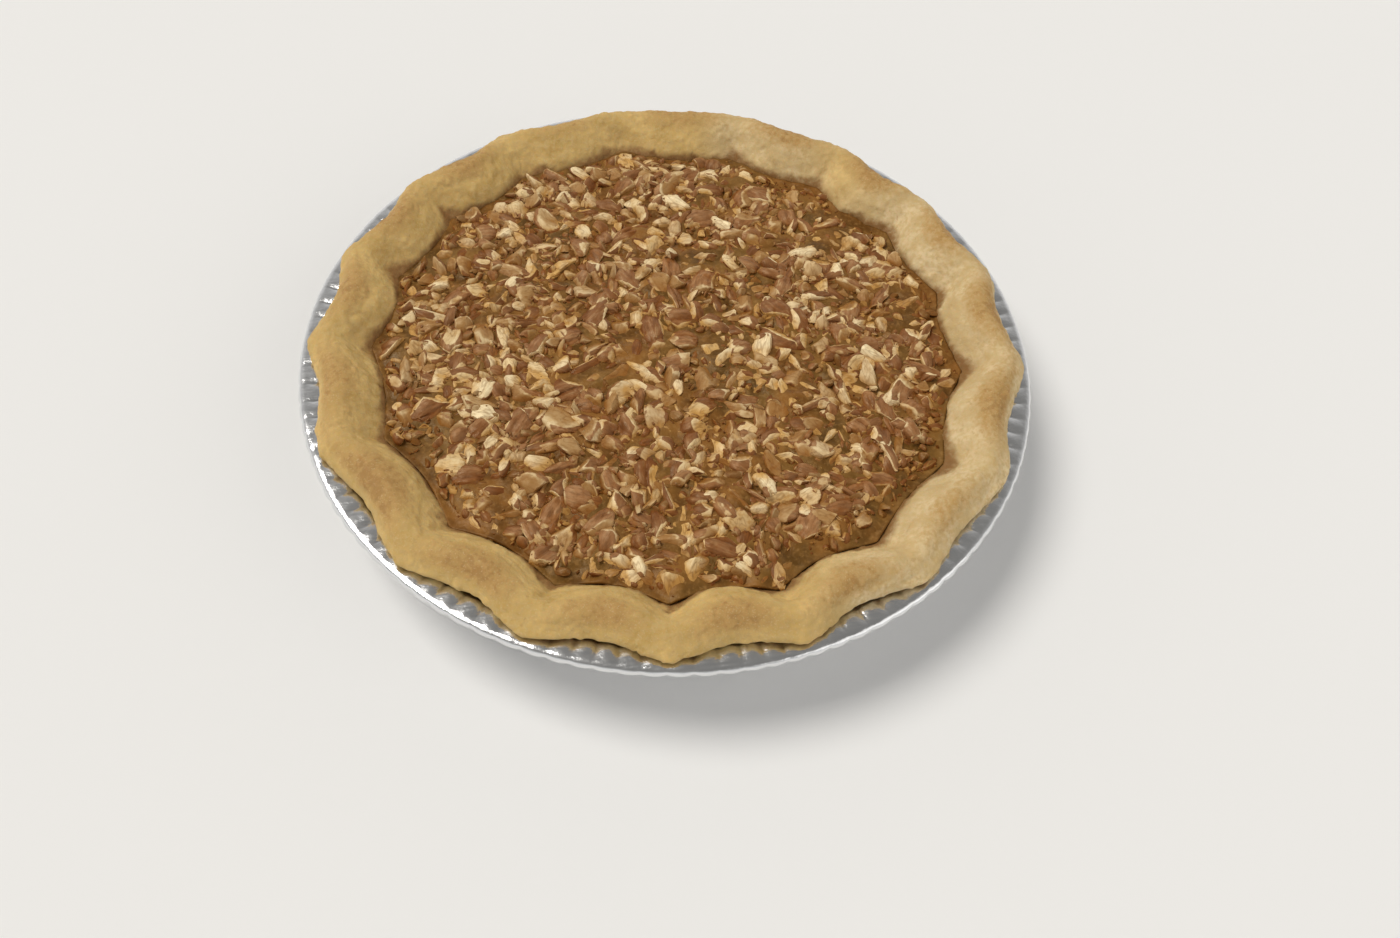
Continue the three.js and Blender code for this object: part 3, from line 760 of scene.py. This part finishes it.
def chopped(group, level, cuts, skin_up, crisp, seed):
    """Broken kernels. In each direction a piece reaches to the nearest of its skin, a ridged round
    surface whose own middle lies well to the other side, and its flat cuts, spread round it; a
    power sum with a high power, called crisp, picks the nearest and rounds the edges. A groove
    runs along some skins, cut faces are torn by a ridged noise, and the whole piece is curled.
    Returns points, triangles, how near the skin side each point lies (0.5 on the skin's border)
    and each piece's own place."""
    rng = np.random.default_rng(seed)
    ways, triangles = ball(level)
    count = len(group["half"])
    step = np.arange(cuts)
    rise = 1 - (2 * step + 1) / cuts
    spiral = np.stack([np.cos(step * GOLDEN_ANGLE) * np.sqrt(1 - rise ** 2),
                       np.sin(step * GOLDEN_ANGLE) * np.sqrt(1 - rise ** 2), rise], -1)
    spin = turned(rng.uniform(0, 2 * np.pi, (count, 3)))
    normals = np.einsum("nij,cj->nci", spin, spiral)
    normals += CUT_JITTER * rng.normal(size=(count, cuts, 3))
    normals /= np.linalg.norm(normals, axis=-1, keepdims=True)
    depth = rng.uniform(*CUT_DEPTHS, (count, cuts))
    side = rng.normal(size=(count, 3)) + (0, 0, skin_up)
    side /= np.linalg.norm(side, axis=-1, keepdims=True)
    shift = rng.uniform(*SKIN_SHIFTS, (count, 1))
    toward = side @ ways.T
    roll = np.arctan2(ways[:, 1], ways[:, 2] + 1e-9)
    waves = rng.uniform(5, 9, (count, 1)) * roll + 6 * rng.random((count, 1)) + 2.5 * ways[:, 0]
    bow = np.sqrt(1 - shift ** 2 + (shift * toward) ** 2) - shift * toward
    groove_roll = np.arctan2(side[:, 1], side[:, 2])[:, None] + 0.4 * rng.normal(size=(count, 1))
    from_groove = np.abs((roll - groove_roll + np.pi) % (2 * np.pi) - np.pi)
    groove = rng.uniform(0, GROOVE_DEPTH, (count, 1)) * np.exp(-(from_groove / GROOVE_WIDTH) ** 2)
    groove = groove * (1 - ways[:, 0] ** 4)
    skin_reach = bow * (1 - RIDGE_DEPTH * np.abs(np.sin(waves)) - groove)
    facing = np.clip(np.einsum("nck,vk->ncv", normals, ways), 0, None) / depth[..., None]
    cut_part = (facing ** crisp).sum(1) + 1e-12
    total = cut_part + skin_reach ** -crisp
    local = ways * total[..., None] ** (-1 / crisp)
    local -= 0.5 * (local.max(1, keepdims=True) + local.min(1, keepdims=True))
    local *= group["half"][:, None] / np.abs(local).max(1, keepdims=True)
    inside = 0.5 - np.clip(np.log(skin_reach) + np.log(cut_part) / crisp, -0.5, 0.5)
    own = local + 40 * np.arange(count)[:, None, None]
    torn = (0.5 - np.abs(soft_noise(own, 1.5, seed + 2))) * smooth_step(inside, 0.55, 0.4)
    local *= (1 + DENT_DEPTH * soft_noise(own, 1.9, seed) + TEAR_DEPTH * torn)[..., None]
    curl = rng.uniform(-CURL, CURL, (count, 1)) * group["half"][:, 1:2]
    along = local[..., 0] / group["half"][:, :1]
    local[..., 1] += curl * (along ** 2 - 0.4)
    points = np.einsum("nij,nvj->nvi", turned(group["turns"]), local) + group["place"][:, None]
    faces = triangles[None] + (np.arange(count) * len(ways))[:, None, None]
    return points.reshape(-1, 3), faces.reshape(-1, 3), inside.ravel(), local.reshape(-1, 3)


def nut_piece(name, parts, material, seed):
    """One joined mesh for a kind of piece, with its skin, how far it lies soaked below the syrup
    and in painted shade towards its bottom, a random tone, named shade, that is the same over each
    bit, and its own length, breadth and height for the grain."""
    rng = np.random.default_rng(seed)
    points, faces, skins, grains, shades = [], [], [], [], []
    start = 0
    for group, (places, triangles, skin, local) in parts:
        points.append(places)
        faces.append(triangles + start)
        skins.append(skin)
        grains.append(local)
        each = len(places) // len(group["half"])
        shades.append(np.repeat(rng.random(len(group["half"])), each))
        start += len(places)
    points = np.vstack(points)
    x, y = points[:, 0], points[:, 1]
    above = points[:, 2] - filling_top(x, y) - POOL_DEPTH * pool(x, y)
    # Darker towards the bottom of each piece: partly the syrup soaking what is sunk, partly painted
    # shade.
    soak_and_shade = 1 - smooth_step(above, SOAK_AND_SHADE_FULL_BELOW, SOAK_AND_SHADE_CLEAR_ABOVE)
    values = [("skin", np.concatenate(skins)), ("soak_and_shade", soak_and_shade), ("shade", np.concatenate(shades)),
              ("grain", np.vstack(grains) * MM)]
    mesh_piece(name, points, [np.vstack(faces)], material, "filling", values,
               CHOP_CREASE)


def pecan_finish(name, cream, amber, glaze, lip):
    """Pecan under baked syrup. Cut faces run from cream to amber from piece to piece, with dark
    lines where the skin folds into the kernel and a pale lip along the skin. The skin is reddish
    brown, with paler streaks along it as a painted highlight on its ridges and darker streaks as
    painted shade in its grooves. Skin and faces both darken towards the syrup, partly from the
    syrup's soaking and glaze and partly as painted shade."""
    material, tree, shader, place = new_finish(name)
    shade = laid_on(tree, "shade")
    grain = laid_on(tree, "grain", "Vector")
    along = shader_node(tree, "Mapping", {"Vector": grain, "Scale": (0.3, 1.0, 1.0)}).outputs[0]
    fibres = mottle(tree, along, 0.8 * MM, 3.0)
    streaks = mottle(tree, along, 1.5 * MM, 2.0)
    patches = mottle(tree, place, 2.4 * MM)
    folds = worked_out(tree, "SUBTRACT", mottle(tree, along, 2.6 * MM, 1.0), 0.5)
    folds = worked_out(tree, "ABSOLUTE", folds)
    flesh = blended(tree, ranged(tree, shade, 0.24, 0.8), cream, amber)
    flesh = blended(tree, ranged(tree, fibres, 0.42, 0.75, 0.0, 0.5), flesh, (0.36, 0.185, 0.05, 1))
    flesh = blended(tree, ranged(tree, folds, 0.04, 0.0, 0.0, 0.4), flesh, (0.26, 0.12, 0.035, 1))
    wavering = worked_out(tree, "MULTIPLY", patches, 0.18)
    border = worked_out(tree, "ADD", laid_on(tree, "skin"), wavering)
    pale = worked_out(tree, "MULTIPLY", ranged(tree, border, 0.37, 0.50, 0.0, lip),
                      ranged(tree, mottle(tree, place, 4 * MM, 2.0), 0.42, 0.6, 0.2, 1.0))
    flesh = blended(tree, pale, flesh, (0.88, 0.70, 0.41, 1))
    brown = blended(tree, shade, (0.29, 0.125, 0.048, 1), (0.43, 0.215, 0.092, 1))
    # Painted highlight and painted shade: paler streaks stand for lit ridges of the skin, darker
    # ones for shaded grooves.
    ridge_highlight = ranged(tree, streaks, 0.50, 0.66, 0.0, 0.6)
    brown = blended(tree, ridge_highlight, brown, (0.56, 0.335, 0.165, 1))
    groove_shade = ranged(tree, streaks, 0.48, 0.34, 0.0, 0.6)
    brown = blended(tree, groove_shade, brown, (0.15, 0.062, 0.022, 1))
    brown = blended(tree, ranged(tree, fibres, 0.35, 0.7, 0.0, 0.6), brown, (0.19, 0.082, 0.026, 1))
    colour = blended(tree, ranged(tree, border, 0.575, 0.63), flesh, brown)
    film = ranged(tree, mottle(tree, place, 10 * MM, 2.0), 0.48, 0.64, 0.0, 0.36)
    wet_and_shade = worked_out(tree, "ADD", film, ranged(tree, patches, 0.48, 0.68, 0.0, glaze))
    # The darkening towards the bottom of each piece is partly syrup and partly painted shade.
    wet_and_shade = worked_out(tree, "ADD", wet_and_shade, laid_on(tree, "soak_and_shade"), clamp=True)
    glazed_and_shaded = blended(tree, 1.0, colour, GLAZE_AND_SHADE_TINT, "MULTIPLY")
    colour = blended(tree, wet_and_shade, colour, glazed_and_shaded)
    tree.links.new(colour, shader.inputs["Base Color"])
    tree.links.new(ranged(tree, patches, 0.3, 0.7, 0.28, 0.48), shader.inputs["Roughness"])
    tree.links.new(relief(tree, fibres, 0.6, 0.35 * MM), shader.inputs["Normal"])
    shader.inputs["Specular IOR Level"].default_value = 0.3
    shader.inputs["Specular Tint"].default_value = SHINE_TINT
    return material


def of_kind(group, kind):
    """The pieces of one kind out of a group."""
    chosen = group["kind"] == kind
    return {key: values[chosen] for key, values in group.items()}


lumps_large, lumps_medium = of_kind(large, 0), of_kind(medium, 0)
chips_large, chips_medium = of_kind(large, 1), of_kind(medium, 1)
slivers_large, slivers_medium = of_kind(large, 2), of_kind(medium, 2)
nut_piece("pecan_lumps", [
    (lumps_large, chopped(lumps_large, level=4, cuts=7, skin_up=1.2, crisp=26, seed=21)),
    (lumps_medium, chopped(lumps_medium, level=3, cuts=7, skin_up=1.0, crisp=22, seed=22)),
], pecan_finish("pecan_skin_side", cream=(0.84, 0.64, 0.34, 1), amber=(0.40, 0.22, 0.08, 1),
                glaze=0.45, lip=0.75), seed=31)
nut_piece("pecan_chips", [
    (chips_large, chopped(chips_large, level=4, cuts=8, skin_up=0.0, crisp=32, seed=23)),
    (chips_medium, chopped(chips_medium, level=3, cuts=8, skin_up=-0.4, crisp=26, seed=24)),
], pecan_finish("pecan_cut_side", cream=(0.97, 0.80, 0.50, 1), amber=(0.44, 0.25, 0.095, 1),
                glaze=0.3, lip=0.6), seed=32)
nut_piece("pecan_slivers", [
    (slivers_large, chopped(slivers_large, level=4, cuts=7, skin_up=0.2, crisp=28, seed=25)),
    (slivers_medium, chopped(slivers_medium, level=3, cuts=7, skin_up=-0.3, crisp=24, seed=26)),
], pecan_finish("pecan_splinters", cream=(0.96, 0.79, 0.49, 1), amber=(0.44, 0.25, 0.095, 1),
                glaze=0.3, lip=0.6), seed=33)
nut_piece("pecan_bits", [
    (small, chopped(small, level=2, cuts=6, skin_up=0, crisp=18, seed=27)),
], pecan_finish("pecan_small_cut", cream=(0.74, 0.55, 0.29, 1), amber=(0.27, 0.145, 0.052, 1),
                glaze=0.5, lip=0.3), seed=34)
nut_piece("pecan_crumbs", [
    (crumbs, chopped(crumbs, level=1, cuts=5, skin_up=0, crisp=10, seed=28)),
], pecan_finish("pecan_crumb", cream=(0.50, 0.33, 0.15, 1), amber=(0.24, 0.12, 0.04, 1),
                glaze=0.6, lip=0.0), seed=35)

# ---- Floor, light and camera -------------------------------------------------------------------
# A plain pale floor under soft studio light. The camera stands in front of the pie, above it and a
# little to its left, looks down on it steeply and is rolled slightly.

CAMERA_PLACE = (-0.0514, -0.2543, 0.3239)
CAMERA_HEADING = math.radians(14.31)
CAMERA_DIP = math.radians(54.37)
CAMERA_ROLL = math.radians(5.17)
CAMERA_FIELD = math.radians(59.57)
FLOOR_REACH = 12.0


def floor_finish():
    """Matt white paper."""
    material, tree, shader, place = new_finish("floor_paper")
    tone = mottle(tree, place, 0.4)
    tree.links.new(blended(tree, tone, (0.86, 0.86, 0.855, 1), (0.88, 0.88, 0.875, 1)),
                   shader.inputs["Base Color"])
    shader.inputs["Roughness"].default_value = 0.9
    return material


def soft_light(name, toward, strength, spread, colour):
    """Even light from one side of the room: its direction, its watts for each square metre, and how
    wide it looks from the pie, in degrees."""
    light = bpy.data.lights.new(name, "SUN")
    light.energy = strength
    light.angle = math.radians(spread)
    light.color = colour
    holder = bpy.data.objects.new(name, light)
    bpy.context.scene.collection.objects.link(holder)
    holder.matrix_world = Vector(toward).to_track_quat("Z", "Y").to_matrix().to_4x4()


floor_mesh = bpy.data.meshes.new("floor")
corners = [(-FLOOR_REACH, -FLOOR_REACH, 0), (FLOOR_REACH, -FLOOR_REACH, 0),
           (FLOOR_REACH, FLOOR_REACH, 0), (-FLOOR_REACH, FLOOR_REACH, 0)]
floor_mesh.from_pydata(corners, [], [(0, 1, 2, 3)])
floor_mesh.materials.append(floor_finish())
floor = bpy.data.objects.new("floor", floor_mesh)
bpy.context.scene.collection.objects.link(floor)

soft_light("key_light", toward=(-0.45, 0.25, 0.87), strength=1.85, spread=30,
           colour=(1.0, 0.965, 0.91))
soft_light("fill_light", toward=(0.7, -0.5, 0.67), strength=0.42, spread=50,
           colour=(1.0, 0.98, 0.95))
world = bpy.data.worlds.new("studio")
world.use_nodes = True
sky = world.node_tree
heading = shader_node(sky, "TexCoord").outputs["Generated"]
upward = shader_node(sky, "SeparateXYZ", {0: heading}).outputs[2]
walls = blended(sky, ranged(sky, upward, 0.0, 0.9), (0.86, 0.85, 0.835, 1), (0.22, 0.215, 0.205, 1))
sky.links.new(walls, sky.nodes["Background"].inputs["Color"])
bpy.context.scene.world = world
bpy.context.scene.view_settings.view_transform = "Standard"

lens = bpy.data.cameras.new("camera")
lens.sensor_fit = "HORIZONTAL"
lens.angle = CAMERA_FIELD
lens.clip_start = 0.01
camera = bpy.data.objects.new("camera", lens)
bpy.context.scene.collection.objects.link(camera)
camera.matrix_world = (Matrix.Translation(CAMERA_PLACE) @ Matrix.Rotation(-CAMERA_HEADING, 4, "Z")
                       @ Matrix.Rotation(math.pi / 2 - CAMERA_DIP, 4, "X")
                       @ Matrix.Rotation(CAMERA_ROLL, 4, "Z"))
bpy.context.scene.camera = camera

bpy.context.view_layer.update()
